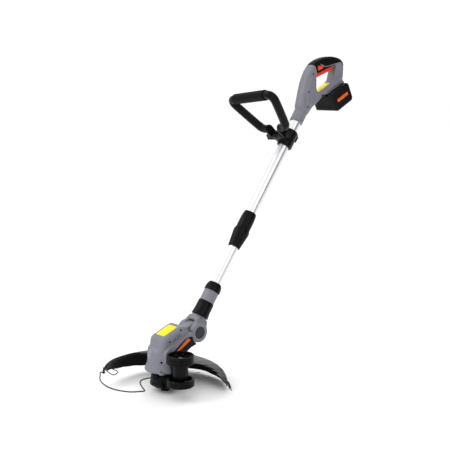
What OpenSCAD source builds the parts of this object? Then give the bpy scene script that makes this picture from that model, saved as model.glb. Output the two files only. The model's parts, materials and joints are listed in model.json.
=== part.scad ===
// Cordless string trimmer with a telescopic shaft, drawn in its working posture.
// The spool spins about the Z axis and the bump knob stands on the ground at the origin.
// +X is the side with the edging wheels, +Y points back towards the operator.

/* [Shaft] */
// Lean of the shaft back from vertical, in degrees
lean = 36; // [30:1:42]
// Outer radius of the upper tube
upper_tube_r = 14; // [13.5:0.5:15]
// Wall of the upper tube
upper_tube_wall = 1.45; // [1.2:0.05:1.6]
// Wall of the lower tube
lower_tube_wall = 1.4; // [1:0.1:2]
// Running clearance between parts that turn or slide on each other
fit = 0.05; // [0.02:0.01:0.1]
// Gap between parts that only pass each other
gap = 0.4; // [0.3:0.1:0.6]

/* [Stations along the shaft, from the tilt axis] */
// Lower end of the release sleeve
sleeve_at = 39; // [38:1:41]
// Lower end of the locking cap
cap_at = 107; // [105:1:110]
// Upper end of the locking cap
cap_end = 130; // [126:1:134]
// Lower end of the twist collar
collar_at = 233; // [228:1:238]
// Line between the two halves of the twist collar
collar_split = 283; // [280:1:286]
// Upper end of the twist collar
collar_end = 333; // [328:1:338]
// Middle of the front handle clamp
clamp_at = 557; // [500:1:560]
// Lower end of the rear handle
socket_at = 608; // [606:1:612]

/* [Head] */
// Distance of the tilt axis behind the spool axis
tilt_y = 86; // [84:1:88]
// Height of the tilt axis above the ground
tilt_z = 129.5; // [127:0.5:132]
// Radius of the tilt knuckle
knuckle_r = 24.3; // [23.5:0.1:24.6]
// Radius of the motor barrel
barrel_r = 42; // [41:0.5:43]
// Radius of the foot flange of the motor housing
flange_r = 48.7; // [47:0.1:49]
// Height of the underside of the motor housing
flange_z = 52; // [51:0.5:54]

/* [Cutting gear] */
// Largest radius of the spool cap
spool_r = 36; // [34:0.5:37]
// Height of the cutting line above the ground
line_z = 28.5; // [27:0.5:29.5]
// Diameter of the cutting line
line_d = 2; // [1.4:0.2:2.4]
// Outer radius of the guard
guard_r = 150; // [146:1:154]
// Polar angle at which the guard starts, beside the cutter
guard_start = 42; // [38:1:46]
// Polar angle at which the guard ends, at the front left
guard_end = 222; // [216:1:226]
// Wall of the guard
guard_wall = 2.6; // [2.2:0.2:3.2]

/* [Edging wheels] */
// Sideways distance of the wheel axle
wheel_x = 75; // [74:1:80]
// Distance of the wheel axle behind the spool axis
wheel_y = -14; // [-18:1:-10]
// Radius of both wheels
wheel_r = 32; // [30:0.5:33]
// Height of the underside of the lower wheel
wheel_z = 32; // [31.5:0.5:34]

/* [Front handle] */
// Distance of the grip bar from the pivot bolt
bar_reach = 132; // [125:1:140]
// Half the length of the soft sleeve on the grip bar
bar_half = 64; // [58:1:66]
// Radius of the soft sleeve
bar_r = 13.8; // [12.8:0.2:14.2]
// Radius of the loop
leg_r = 11; // [10:0.5:11.5]
// Turn of the clamp about the shaft, in degrees
handle_roll = 9; // [0:1:12]
// Angle between the loop and the shaft, in degrees
handle_pitch = 78; // [70:1:86]

/* [Battery] */
// Width of the battery
pack_w = 74; // [70:1:78]
// Length of the battery along its rails
pack_l = 73; // [70:1:76]
// Height of the battery below the dock
pack_h = 52; // [48:1:54]
// Slope of the battery rails, in degrees
dock_tilt = 27; // [25:1:29]

/* [Hidden] */
$fn = 64;

plastic_grey = "slategray";
trim_black = "#1c1c1e";
accent_orange = "orangered";
bright_metal = "silver";

lower_tube_r = upper_tube_r - upper_tube_wall - fit;
lower_tube_bore = lower_tube_r - lower_tube_wall;
lower_tube_top = 480;
spigot_r = 13;
swivel_r = 18.75;
socket_r = 17.5;
split_gap = 0.02;
handle_screw_r = 2.6;
fork_in = 14;
fork_out = 29;
tongue_half = fork_in - gap;
hub_r = 18;
hub_z0 = wheel_z + 17.5;
hub_z1 = wheel_z + 53;
wheel_top = wheel_z + 74;
axle_r = 4;
pivot_y = -26;
pivot_z = -5;
bolt_r = 4;
lug_in = 20;
lug_out = 28;
core_r = 8;

// ---- frames -------------------------------------------------------------------------------

// Local z runs up the shaft from the tilt axis, local y points down and back.
module shaft_frame() translate([0, tilt_y, tilt_z]) rotate([-lean, 0, 0]) children();

// World axes, with the origin where the shaft enters the rear handle.
module handle_frame()
    translate([0, tilt_y + socket_at * sin(lean), tilt_z + socket_at * cos(lean)]) children();

// Local y runs back along the battery rails, local z is square to them.
module dock_pose() translate([0, 99.6, 72.8]) rotate([dock_tilt, 0, 0]) children();
module dock_frame() handle_frame() dock_pose() children();

// Turns a profile drawn as [y, z] into a slab between two x values.
module slab(points, x0, x1)
    rotate([90, 0, 90]) translate([0, 0, x0]) linear_extrude(x1 - x0) polygon(points);

module tube(r_out, r_in, z0, z1) translate([0, 0, z0]) difference() {
    cylinder(r = r_out, h = z1 - z0);
    translate([0, 0, -1]) cylinder(r = r_in, h = z1 - z0 + 2);
}

// A closed outline moved inwards by d; its points run anticlockwise.
function inset(p, d) = [for (i = [0 : len(p) - 1])
    let (n = len(p), a = p[i] - p[(i + n - 1) % n], b = p[(i + 1) % n] - p[i],
         na = [-a[1], a[0]] / norm(a), nb = [-b[1], b[0]] / norm(b))
    p[i] + (na + nb) * d / (1 + na * nb)];

function arc(c, r, a0, a1, n = 8) = [for (i = [0 : n])
    let (a = a0 + (a1 - a0) * i / n) c + r * [cos(a), sin(a)]];

// A value that eases from one stop to the next in a list of [angle, value] pairs.
function ease(stops, a, i = 0) =
    a <= stops[0][0] ? stops[0][1] :
    i >= len(stops) - 1 ? stops[len(stops) - 1][1] :
    a > stops[i + 1][0] ? ease(stops, a, i + 1) :
    let (t = (a - stops[i][0]) / (stops[i + 1][0] - stops[i][0]), s = t * t * (3 - 2 * t))
    stops[i][1] * (1 - s) + stops[i + 1][1] * s;

// Closes a list of rings, each a list of points, into one solid.
module skin(rings) {
    m = len(rings[0]);
    n = len(rings);
    polyhedron(
        points = [for (ring = rings) each ring],
        faces = concat(
            [[for (j = [m - 1 : -1 : 0]) j]],
            [for (i = [0 : n - 2], j = [0 : m - 1])
                [i * m + j, i * m + (j + 1) % m, (i + 1) * m + (j + 1) % m]],
            [for (i = [0 : n - 2], j = [0 : m - 1])
                [i * m + j, (i + 1) * m + (j + 1) % m, (i + 1) * m + j]],
            [[for (j = [0 : m - 1]) (n - 1) * m + j]]));
}

function unit(v) = v / norm(v);

// A round wire along a path of 3-D points that never runs parallel to the vector side.
module wire(path, r, sides = 8, side = [0, 0, 1]) {
    n = len(path);
    skin([for (i = [0 : n - 1])
        let (t = unit(path[min(i + 1, n - 1)] - path[max(i - 1, 0)]),
             s = unit(cross(t, side)), u = cross(s, t))
        [for (k = [0 : sides - 1]) path[i] + r * (cos(360 * k / sides) * s + sin(360 * k / sides) * u)]]);
}

// A smooth curve through hand-picked points.
function smooth(p, i, t) =
    let (n = len(p), a = p[max(i - 1, 0)], b = p[i], c = p[min(i + 1, n - 1)], d = p[min(i + 2, n - 1)])
    0.5 * (2 * b + (c - a) * t + (2 * a - 5 * b + 4 * c - d) * t * t + (3 * b - a - 3 * c + d) * t * t * t);
function curve(p, steps) = concat(
    [for (i = [0 : len(p) - 2], k = [0 : steps - 1]) smooth(p, i, k / steps)], [p[len(p) - 1]]);

// A compression spring standing on the local xy plane.
module spring(r, wire_r, turns, height)
    wire([for (i = [0 : turns * 12])
        let (a = i * 30) [r * cos(a), r * sin(a), wire_r + (height - 2 * wire_r) * i / (turns * 12)]],
        wire_r, 5);

// ---- rear handle --------------------------------------------------------------------------

handle_outline = concat(
    [[5, 37], [33.6, 16.4], [46, 32], [58, 42], [72, 49], [90, 64], [99.6, 72.8], [167.3, 107.3]],
    [[172, 112]], [[175, 122], [176, 140]], [[175.5, 150], [172.5, 159], [164, 166]],
    [[150, 170.5], [133, 172.6], [112, 172], [92, 168.6], [70, 160.5], [51.5, 149.5]],
    [[37.5, 133], [24.5, 108], [15.5, 80], [10.5, 57]]);
window_outline = [[65.5, 87], [68.5, 80.5], [76, 79], [128, 105.5], [133.5, 111], [141, 138],
    [141, 150], [138, 153.5], [68, 129.6], [65.5, 127]];
grip_outline = [[58, 158], [51.5, 149.5], [56, 146], [74, 156], [94, 163.5], [113, 166.8], [132, 167.3],
    [149, 165.2], [161, 161.4], [167, 156], [169.5, 149], [175.5, 150], [172.5, 159], [164, 166],
    [150, 170.5], [133, 172.6], [112, 172], [92, 168.6], [70, 162]];
grip_side_outline = [[51.5, 149.5], [56, 147], [59.5, 144], [62, 137], [65, 130.2], [72, 132.5],
    [138, 155.2], [150, 157.5], [161, 157], [166.5, 153], [169.5, 149], [175.5, 150], [172.5, 159],
    [164, 166], [150, 170.5], [133, 172.6], [112, 172], [92, 168.6], [70, 160.5]];
grip_side_x = 12;
trigger_slot = [[62, 125], [67, 125], [141, 149.5], [141.5, 159], [62, 139]];
trigger_outline = [[70, 116.6], [74, 116], [137, 138], [140.3, 143], [139, 151.2], [134, 151.5],
    [67, 128.6], [66.8, 125]];
column_outline = [[22, 40], [34, 34], [60, 58], [60, 112], [46, 126], [34, 112], [22, 76]];
trigger_pivot = [135, 147.5];
trigger_half = 6.4;
slot_half = 7.2;
pin_r = 2;
pin_half = 9;
shell_half = 15;
shell_core = 11;
column_half = 18;
lock_outline = [[67, 134], [87, 140.6], [87, 148], [67, 147]];
lock_face = 17.6;
lock_depth = 6.4;
lock_travel = 3;
handle_screw_spots = [[52, 125], [31, 79], [88, 70], [29, 41]];

module handle_half() {
    difference() {
        union() {
            slab(handle_outline, split_gap, shell_core + 0.5);
            slab(inset(handle_outline, 3), shell_core, shell_half);
            slab(column_outline, shell_half - 0.1, column_half);
            shell_socket();
            shell_dock();
        }
        slab(inset(handle_outline, 5), -1, shell_core);
        slab(inset(window_outline, -1.5), shell_core + 0.2, column_half + 1);
        handle_cuts();
        terminal_seat();
        in_shaft_from_handle() {
            translate([0, 0, -1]) cylinder(r = upper_tube_r, h = 46);
            translate([0, 0, 30]) cylinder(r = 8, h = 40);
        }
    }
    difference() {
        slab(inset(window_outline, -3), split_gap, shell_core + 0.2);
        handle_cuts();
    }
}

// What the window, the trigger and the soft grip take out of a shell.
module handle_cuts() {
    slab(window_outline, -1, shell_core + 1);
    slab(trigger_slot, -1, slot_half);
    slab(grip_outline, -1, shell_half + 1);
    slab(grip_side_outline, grip_side_x - fit, shell_half + 1);
    on_trigger_pivot() cylinder(r = pin_r, h = pin_half);
}

module on_trigger_pivot() translate([0, trigger_pivot[0], trigger_pivot[1]]) rotate([0, 90, 0]) children();

module in_shaft_from_handle() rotate([-lean, 0, 0]) children();

module shell_socket() intersection() {
    in_shaft_from_handle() {
        cylinder(r = socket_r, h = 34);
        translate([0, 0, 32]) cylinder(r = socket_r + 0.8, h = 20);
    }
    translate([split_gap, -60, -60]) cube([60, 200, 200]);
}

// The dock: a slab over the battery with one undercut rail on each side.
module shell_dock() dock_pose() {
    translate([split_gap, -4, 0]) cube([20, 80, 11.3]);
    translate([rail_x, 4, -rail_drop]) cube([3, 72, rail_drop + 1]);
    translate([rail_x - 3, 4, -rail_drop]) cube([4, 72, 3]);
}

// The seat of the terminal block, and the slits that its blades pass through.
module terminal_seat() dock_pose() {
    translate([-1, 12, 1.5]) cube([10, 14, 7]);
    for (x = contact_x) translate([x - 0.6, 13.9, -1]) cube([1.2, 9.2, 4]);
}

module handle_shell_left() color(plastic_grey) handle_frame() mirror([1, 0, 0]) handle_half();

// The pocket round the lock-off button.
module lock_pocket() slab(inset(lock_outline, -gap), lock_face - lock_depth - lock_travel - 0.2, 20);

module handle_shell_right() color(plastic_grey) handle_frame() difference() {
    handle_half();
    lock_pocket();
    for (p = handle_screw_spots) translate([shell_core - 1, p[0], p[1]]) rotate([0, 90, 0])
        cylinder(r = handle_screw_r, h = 12);
}

module handle_screws() color(trim_black) handle_frame() for (p = handle_screw_spots)
    translate([shell_core - 1, p[0], p[1]]) rotate([0, 90, 0]) cylinder(r = handle_screw_r, h = 4);

module soft_grip() color(trim_black) handle_frame() {
    slab(grip_outline, -grip_side_x, grip_side_x);
    difference() {
        for (m = [0, 1]) mirror([m, 0, 0]) slab(grip_side_outline, grip_side_x - 0.01, shell_half + 0.5);
        lock_pocket();
    }
}

module trigger() color(accent_orange) handle_frame() difference() {
    slab(trigger_outline, -trigger_half, trigger_half);
    on_trigger_pivot() translate([0, 0, -10]) cylinder(r = pin_r + fit, h = 20);
}

module trigger_pin() color(bright_metal) handle_frame() on_trigger_pivot()
    translate([0, 0, -pin_half]) cylinder(r = pin_r, h = 2 * pin_half);

module trigger_spring() color(bright_metal) handle_frame()
    translate([0, 84, 134.8]) rotate([18, 0, 0]) spring(3, 0.5, 4, 7.5);

module trigger_switch() color(trim_black) handle_frame()
    translate([-5, 90, 151]) rotate([12, 0, 0]) cube([10, 24, 9]);

module lock_off_button() color(accent_orange) handle_frame()
    slab(lock_outline, lock_face - lock_depth, lock_face);

module control_board() color("darkgreen") handle_frame()
    translate([-9, 34, 64]) rotate([-16, 0, 0]) cube([18, 1.6, 40]);

contact_x = [-6, 0, 6];

module dock_terminals() color(trim_black) dock_frame() {
    translate([-9, 12, 1.5]) cube([18, 14, 7]);
    for (x = contact_x) translate([x - 0.5, 14, -2.8]) cube([1, 9, 5]);
}

// ---- battery ------------------------------------------------------------------------------

pack_split = -25;
rail_x = 17;
rail_drop = 7;
slot_gap = 0.35;

module battery_upper_case() color(trim_black) dock_frame() difference() {
    translate([-pack_w / 2, 0, pack_split]) cube([pack_w, pack_l, -gap - pack_split]);
    for (m = [0, 1]) mirror([m, 0, 0]) {
        translate([rail_x - slot_gap, -1, -rail_drop - slot_gap])
            cube([3 + 2 * slot_gap, pack_l + 2, rail_drop + 1]);
        translate([rail_x - 3 - slot_gap, -1, -rail_drop - slot_gap])
            cube([3.2, pack_l + 2, 3 + 2 * slot_gap]);
    }
    translate([-pack_w / 2 + 3, 3, pack_split - 1]) cube([pack_w - 6, pack_l - 6, 16.5]);
    translate([-latch_half - gap, pack_l - 9.4, -18]) cube([2 * (latch_half + gap), 10, 20]);
    for (x = contact_x) translate([x - 1, -1, -5]) cube([2, 27, 6]);
}

module battery_lower_case() color(trim_black) dock_frame() difference() {
    slab([[0, pack_split - 0.02], [0, -pack_h + 4], [4, -pack_h], [pack_l - 5, -pack_h],
        [pack_l, -pack_h + 6], [pack_l, pack_split - 0.02]], -pack_w / 2, pack_w / 2);
    translate([-pack_w / 2 + 3, 3, -pack_h + 2.2]) cube([pack_w - 6, pack_l - 6, pack_h]);
}

module battery_cells() color("seagreen") dock_frame() {
    for (y = [16.5, 36.5, 56.5]) translate([-32.5, y, -34.6]) rotate([0, 90, 0]) cylinder(r = 9.1, h = 65);
    for (y = [26.5, 46.5]) translate([-32.5, y, -19]) rotate([0, 90, 0]) cylinder(r = 9.1, h = 65);
}

latch_half = 11;

module battery_latch() color(accent_orange) dock_frame() {
    translate([-latch_half, pack_l - 8.9, -12]) cube([2 * latch_half, 10.5, 9]);
    translate([-6, pack_l - 8.9, -3.1]) cube([12, 3, 2.5]);
}

// ---- upper shaft and front handle ----------------------------------------------------------

module upper_tube() color(bright_metal) shaft_frame()
    tube(upper_tube_r, lower_tube_r + fit, collar_at + 35, socket_at + 42);

// From the board down the tubes, with a coil that takes up the telescopic travel.
lead_foot = 118;
lead_r = 2.2;
coil_r = 7;
coil_at = [490, 590];
lead_route = concat([[0, 0, lead_foot], [0, 0, 480]],
    [for (i = [0 : 96]) let (a = i * 45)
        [coil_r * cos(a), coil_r * sin(a), coil_at[0] + (coil_at[1] - coil_at[0]) * i / 96]],
    [[0, 0, 602], [0, 0, 664]]);

module shaft_lead() color(trim_black) shaft_frame() wire(lead_route, lead_r, 6, [0.1, 1, 0]);

module clamp_frame() shaft_frame() translate([0, 0, clamp_at]) rotate([0, 0, -handle_roll]) children();

// Local z runs along the pivot bolt.
module on_clamp_bolt() clamp_frame() translate([0, pivot_y, pivot_z]) rotate([0, 90, 0]) children();

module handle_clamp() color(trim_black) difference() {
    union() {
        clamp_frame() {
            translate([0, 0, -24]) cylinder(r = 19.5, h = 48);
            translate([-lug_in + gap, pivot_y - 9, pivot_z - 11])
                cube([2 * (lug_in - gap), 30, 22]);
            translate([-12, 8, -24]) cube([24, 10, 48]);
            translate([-8, 14, 4]) cube([16, 11, 18]);
        }
        on_clamp_bolt() translate([0, 0, -lug_in + gap]) cylinder(r = 12, h = 2 * (lug_in - gap));
    }
    clamp_frame() {
        translate([0, 0, -30]) cylinder(r = upper_tube_r + fit, h = 60);
        translate([-1.5, pivot_y - 16, -30]) cube([3, 22, 60]);
    }
    on_clamp_bolt() translate([0, 0, -40]) cylinder(r = bolt_r, h = 80);
}

module clamp_bolt() color(bright_metal) on_clamp_bolt() {
    translate([0, 0, -lug_out - 11]) cylinder(r = bolt_r, h = 2 * lug_out + 17);
    translate([0, 0, lug_out + gap]) cylinder(r = 7.5, h = 6, $fn = 6);
}

module clamp_knob() color(trim_black) on_clamp_bolt() mirror([0, 0, 1])
    translate([0, 0, lug_out + gap]) difference() {
        union() {
            cylinder(r = 10, h = 15);
            for (a = [0 : 60 : 300]) rotate([0, 0, a]) translate([8.6, 0, 0]) cylinder(r = 3.6, h = 15);
        }
        translate([0, 0, -1]) cylinder(r = bolt_r + fit, h = 12.5);
    }

// Local z runs from the pivot bolt out to the grip bar, local y is square to the loop.
module front_handle_space() clamp_frame() translate([0, pivot_y, pivot_z])
    rotate([handle_pitch, 0, 0]) children();

leg_z = 24;

// Half of the loop's centre line, as [x, z] from the lug to the soft sleeve.
leg_route = curve([[22, leg_z], [31, leg_z], [42, 26], [50, 32], [57, 46], [70, 79], [81.5, 111], [82.5, 122],
    [78, 129.5], [71, bar_reach], [bar_half + 0.5, bar_reach]], 2);

module front_handle_frame() color(trim_black) {
    front_handle_space() for (m = [0, 1]) mirror([m, 0, 0]) {
        difference() {
            union() {
                translate([lug_in, 0, 0]) rotate([0, 90, 0]) cylinder(r = leg_r, h = lug_out - lug_in);
                translate([lug_in, -leg_r, 0]) cube([lug_out - lug_in, 2 * leg_r, leg_z]);
                translate([lug_in, 0, leg_z]) rotate([0, 90, 0]) cylinder(r = leg_r, h = lug_out - lug_in);
            }
            rotate([0, 90, 0]) cylinder(r = bolt_r + fit, h = 40);
        }
        wire([for (p = leg_route) [p[0], 0, p[1]]], leg_r, 16, [0, 1, 0]);
    }
    front_handle_space() translate([-bar_half - 4, 0, bar_reach]) rotate([0, 90, 0])
        cylinder(r = core_r, h = 2 * bar_half + 8);
}

module front_handle_grip() color(trim_black) front_handle_space() translate([-bar_half, 0, bar_reach])
    rotate([0, 90, 0]) difference() {
        cylinder(r = bar_r, h = 2 * bar_half);
        translate([0, 0, -1]) cylinder(r = core_r, h = 2 * bar_half + 2);
    }

// ---- twist collar --------------------------------------------------------------------------

module collar_body() color(trim_black) shaft_frame() difference() {
    union() {
        translate([0, 0, collar_split + gap]) cylinder(r = 17.5, h = 40);
        translate([0, 0, collar_split + 40]) cylinder(r1 = 17.5, r2 = 15, h = collar_end - collar_split - 40);
        translate([0, 0, collar_split - 20]) cylinder(r = 16, h = 24);
    }
    translate([0, 0, collar_split - 30]) cylinder(r = upper_tube_r, h = 90);
}

module twist_ring() color(trim_black) shaft_frame() difference() {
    union() {
        translate([0, 0, collar_at]) cylinder(r1 = 15, r2 = 19.5, h = 38);
        translate([0, 0, collar_at + 38]) cylinder(r = 20.5, h = collar_split - collar_at - 38);
    }
    translate([0, 0, collar_at - 1]) cylinder(r = lower_tube_r + gap, h = 60);
    translate([0, 0, collar_at + 6]) cylinder(r = 14.4, h = 60);
    translate([0, 0, collar_split - 20 - gap]) cylinder(r = 16 + fit, h = 40);
}

module collet() color("ivory") shaft_frame()
    tube(14, lower_tube_r + fit, collar_at + 7, collar_split - 20 - 0.1);

// ---- lower shaft ---------------------------------------------------------------------------

module lower_tube() color(bright_metal) shaft_frame()
    tube(lower_tube_r, lower_tube_bore, sleeve_at + 62, lower_tube_top);

module swivel_housing() color(plastic_grey) shaft_frame() difference() {
    translate([0, 0, sleeve_at + 11]) cylinder(r = swivel_r, h = cap_at - sleeve_at - 11);
    translate([0, 0, sleeve_at]) cylinder(r = spigot_r + fit, h = 61.9);
    translate([0, 0, sleeve_at + 61.9]) cylinder(r = lower_tube_r, h = 20);
}

module locking_cap() color(trim_black) shaft_frame() difference() {
    union() {
        translate([0, 0, cap_at]) cylinder(r = 20.3, h = 12);
        translate([0, 0, cap_at + 12]) cylinder(r1 = 20.3, r2 = 15, h = cap_end - cap_at - 12);
    }
    translate([0, 0, cap_at - 1]) cylinder(r = lower_tube_r, h = 40);
}

module release_sleeve() color(trim_black) shaft_frame() difference() {
    union() {
        translate([0, 0, sleeve_at + gap]) cylinder(r1 = 22, r2 = 20.2, h = 16);
        translate([0, 0, sleeve_at + 16]) cylinder(r = 20.2, h = 23);
    }
    translate([0, 0, sleeve_at + 3]) cylinder(r = swivel_r + fit, h = 40);
    translate([0, 0, sleeve_at - 1]) cylinder(r = spigot_r + 1, h = 10);
}

module sleeve_spring() color(bright_metal) shaft_frame()
    translate([0, 0, sleeve_at + 3.1]) spring(16.2, 0.7, 2, 7.8);

// ---- swivel neck ---------------------------------------------------------------------------

// One half of the fork: a knuckle disc, its arm, and half of the spigot.
module neck_half() difference() {
    union() {
        translate([fork_in, 0, 0]) rotate([0, 90, 0]) cylinder(r = knuckle_r, h = fork_out - fork_in);
        slab([[-knuckle_r + 3, 10], [knuckle_r - 3, 10], [15, 34], [-15, 34]], fork_in, 19);
        intersection() {
            union() {
                translate([0, 0, knuckle_r + 4]) cylinder(r = 18, h = sleeve_at - knuckle_r - 4);
                translate([0, 0, sleeve_at - 1]) cylinder(r = spigot_r, h = 62);
            }
            translate([split_gap, -40, 0]) cube([40, 80, 120]);
        }
    }
    translate([0, 0, 20]) cylinder(r = 6, h = 90);
    translate([-1, 0, 0]) rotate([0, 90, 0]) cylinder(r = 5, h = 60);
}

module neck_left() color(plastic_grey) shaft_frame() mirror([1, 0, 0]) neck_half();

module neck_right() color(plastic_grey) shaft_frame() difference() {
    neck_half();
    translate([21, 0, 0]) rotate([0, 90, 0]) cylinder(r = 14.3 + fit, h = 20);
    translate([10, -9, 33.5]) rotate([0, 90, 0]) cylinder(r = 2.4, h = 14);
}

module neck_screws() color(trim_black) shaft_frame()
    translate([10, -9, 33.5]) rotate([0, 90, 0]) cylinder(r = 2.4, h = 5.6);

module tilt_button() color("darkslategray") shaft_frame() translate([26, 0, 0]) rotate([0, 90, 0])
    cylinder(r = 14.3, h = 4.5);

module tilt_pin() color(bright_metal) shaft_frame() translate([-20, 0, 0]) rotate([0, 90, 0])
    cylinder(r = 5, h = 40.5);

// ---- motor housing -------------------------------------------------------------------------

head_profile = concat([[-36, 58], [38, 58], [40, 88], [48, 97], [74, 107]],
    arc([tilt_y, tilt_z], 24, -115, 120, 12), [[58, 146], [48, 149], [40, 154], [33, 155], [-20, 135],
    [-25, 128.5], [-31, 104], [-36, 90]]);
head_profile_mid = [[-36, 60], [36, 60], [38, 90], [46, 98], [57, 101], [72, 104.8], [66, 110], [60, 118],
    [57, 138], [44, 147], [34, 151], [-25, 129], [-33, 112], [-37, 90]];
head_profile_low = [[-25, 70], [25, 70], [34, 91], [46, 99.5], [56, 102.5], [70, 105.6], [63, 112], [59, 120],
    [57, 134], [45, 133], [-22, 109], [-26, 104]];

module housing_half() difference() {
    union() {
        slab(head_profile, split_gap, tongue_half);
        slab([for (p = head_profile) if (p[0] < 60) p], split_gap, 22);
        slab(head_profile_mid, 21.9, 30);
        slab(head_profile_low, 29.9, 37);
        intersection() {
            union() {
                translate([0, 0, flange_z]) cylinder(r = flange_r, h = 4);
                translate([0, 0, flange_z + 4]) cylinder(r1 = flange_r, r2 = barrel_r, h = 12);
                translate([0, 0, flange_z + 16]) cylinder(r = barrel_r, h = 40);
                translate([0, 0, flange_z + 56]) cylinder(r1 = barrel_r, r2 = 34, h = 14);
            }
            translate([split_gap, -80, 0]) cube([80, 200, 200]);
        }
    }
    cylinder(r = barrel_r - 4, h = 66);
    cylinder(r = bearing_r, h = motor_z + 1);
    translate([0, 0, motor_z]) cylinder(r = motor_r, h = motor_h);
    translate([0, 0, motor_z + 2]) cylinder(r = motor_r + 8, h = 26);
    translate([-1, tilt_y, tilt_z]) rotate([0, 90, 0]) cylinder(r = tilt_pin_r + fit, h = 80);
    translate([tongue_half, tilt_y, tilt_z]) rotate([0, 90, 0]) cylinder(r = 26, h = 80);
    slab(panel_outline, panel_x, 60);
}

module motor_housing_left() color(plastic_grey) mirror([1, 0, 0]) housing_half();

module motor_housing_right() color(plastic_grey) difference() {
    housing_half();
    for (p = housing_screw_spots) translate(p) rotate([0, 90, 0]) cylinder(r = 2.6, h = 30);
}

housing_screw_spots = [[20, 28, 146], [24, -8, 125], [25, 64.8, 107.3]];
panel_outline = [[4, 93], [34, 93.5], [54, 104], [65, 106.4], [58, 118], [55, 128], [36, 126.5], [-2, 101]];
panel_x = 35.6;
tilt_pin_r = 5;
bearing_r = 8;
motor_z = 72;
motor_r = 22;
motor_h = 48;
shaft_r = 3;

module side_panels() color(trim_black) for (m = [0, 1]) mirror([m, 0, 0])
    slab(panel_outline, panel_x, panel_x + 2.6);

module housing_screws() color(trim_black) for (p = housing_screw_spots)
    translate(p) rotate([0, 90, 0]) cylinder(r = 2.6, h = 4);

module motor_can() color(bright_metal) difference() {
    translate([0, 0, motor_z]) cylinder(r = motor_r, h = motor_h);
    translate([0, 0, motor_z - 2]) cylinder(r = shaft_r + gap, h = 44);
}

module motor_bearing() color(bright_metal) tube(bearing_r, shaft_r + fit, 66, motor_z - 0.5);

// ---- spool ---------------------------------------------------------------------------------

module motor_shaft() color(bright_metal) translate([0, 0, 29]) cylinder(r = shaft_r, h = 83);

module cooling_fan() color("ivory") {
    tube(9, shaft_r, 56, 62);
    for (a = [0 : 45 : 315]) rotate([0, 0, a]) translate([8, -0.8, 56]) rotate([0, 0, 14]) cube([20, 1.6, 6]);
}

module spool_housing() color(trim_black) difference() {
    union() {
        translate([0, 0, 22]) cylinder(r = spool_r - 1.6, h = 14);
        translate([0, 0, 36]) cylinder(r1 = spool_r - 1.6, r2 = 30, h = 9);
        translate([0, 0, 45]) cylinder(r = 7, h = 6);
    }
    translate([0, 0, 21]) cylinder(r = spool_r - 4, h = 18);
    translate([0, 0, 30]) cylinder(r = shaft_r, h = 30);
    translate([0, 0, line_z]) rotate([-90, 0, -3]) cylinder(r = 2.2, h = 60);
}

module spool_drum() color("dimgray") difference() {
    union() {
        translate([0, 0, 23]) cylinder(r = 29.5, h = 1.6);
        translate([0, 0, 23]) cylinder(r = 15, h = 12);
        translate([0, 0, 34]) cylinder(r = 29.5, h = 1.6);
    }
    translate([0, 0, 20]) cylinder(r = 10.6, h = 20);
}

module line_winding() color("lightgray") tube(25, 15, 25, 33.6);

module spool_cap() color(trim_black) difference() {
    union() {
        translate([0, 0, 17]) cylinder(r = spool_r, h = 5);
        translate([0, 0, 11]) cylinder(r1 = 27, r2 = spool_r, h = 6);
        for (a = latch_angles) rotate([0, 0, a]) translate([spool_r - 2, -3.4, 14]) cube([3.2, 6.8, 22]);
    }
    translate([0, 0, 5]) cylinder(r = knob_r + 0.4, h = 30);
    for (a = latch_angles) rotate([0, 0, a]) translate([spool_r - 5, -3.6, 22]) cube([3.4, 7.2, 15]);
}
latch_angles = [-45, 135];

module cutting_line() color("gainsboro")
    wire(curve([[0.8, 25.6, line_z], [2, 36, line_z], [7.5, 50, line_z], [14.5, 67, line_z],
        [23.6, 89.5, line_z]], 3), line_d / 2, 8);

knob_r = 10.2;
knob_top = 22.9;

module bump_knob() color(trim_black) {
    cylinder(r = knob_r + 0.3, h = 3.5);
    translate([0, 0, 3]) cylinder(r1 = knob_r - 1.6, r2 = knob_r, h = 8);
    translate([0, 0, 10.9]) cylinder(r = knob_r, h = knob_top - 10.9);
}

module bump_spring() color(bright_metal) translate([0, 0, knob_top]) spring(7, 0.7, 4, 39 - knob_top);

// ---- guard ---------------------------------------------------------------------------------

// Heights of the rim and of the lower edge, and the inner edge of the roof, round the guard.
rim_z = [[42, 25], [54, 30], [60, 33], [70, 38], [80, 41], [93, 44], [104, 46], [112, 48], [150, 58],
    [184, 58], [210, 59], [218, 58], [222, 54]];
skirt_z = [[42, 13], [50, 9], [76, 5], [88, 6], [100, 9], [116, 8], [140, 11], [162, 17], [175, 21],
    [190, 25], [210, 33], [222, 42]];
roof_in = [[42, 138], [54, 124], [70, 104], [92, 60], [98, 50], [142, 50], [150, 70], [162, 112],
    [178, 136], [222, 139]];
guard_screw_angles = [108, 132];
guard_screw_z = flange_z + 2.6;

// One section of the guard at polar angle a: down the outside and back up the inside.
function guard_section(a) =
    let (zt = ease(rim_z, a), zb = ease(skirt_z, a), ri = ease(roof_in, a), w = guard_wall,
         lift = (flange_z + 4 - zt) * max(0, (139 - ri) / 89), r = guard_r)
    [for (p = [[r, zb], [r, zt - 12], [r - 2.4, zt - 5], [r - 8, zt - 0.8], [ri, zt + lift],
        [ri, zt + lift - w], [r - 8.6, zt - 0.8 - w], [r - w - 1.8, zt - 6.4], [r - w, zt - 12.4],
        [r - w, zb]])
        [p[0] * cos(a), p[0] * sin(a), p[1]]];

module guard() color(trim_black) difference() {
    skin([for (a = [guard_start : 4 : guard_end]) guard_section(a)]);
    translate([0, 0, flange_z - 6]) cylinder(r = flange_r + 0.1, h = 60);
    on_guard_screws() cylinder(r = 3.4, h = 10);
}

module on_guard_screws() for (a = guard_screw_angles) rotate([0, 0, a])
    translate([54, 0, guard_screw_z]) children();

module guard_screws() color(bright_metal) on_guard_screws() cylinder(r = 3.4, h = 2.4);

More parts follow.
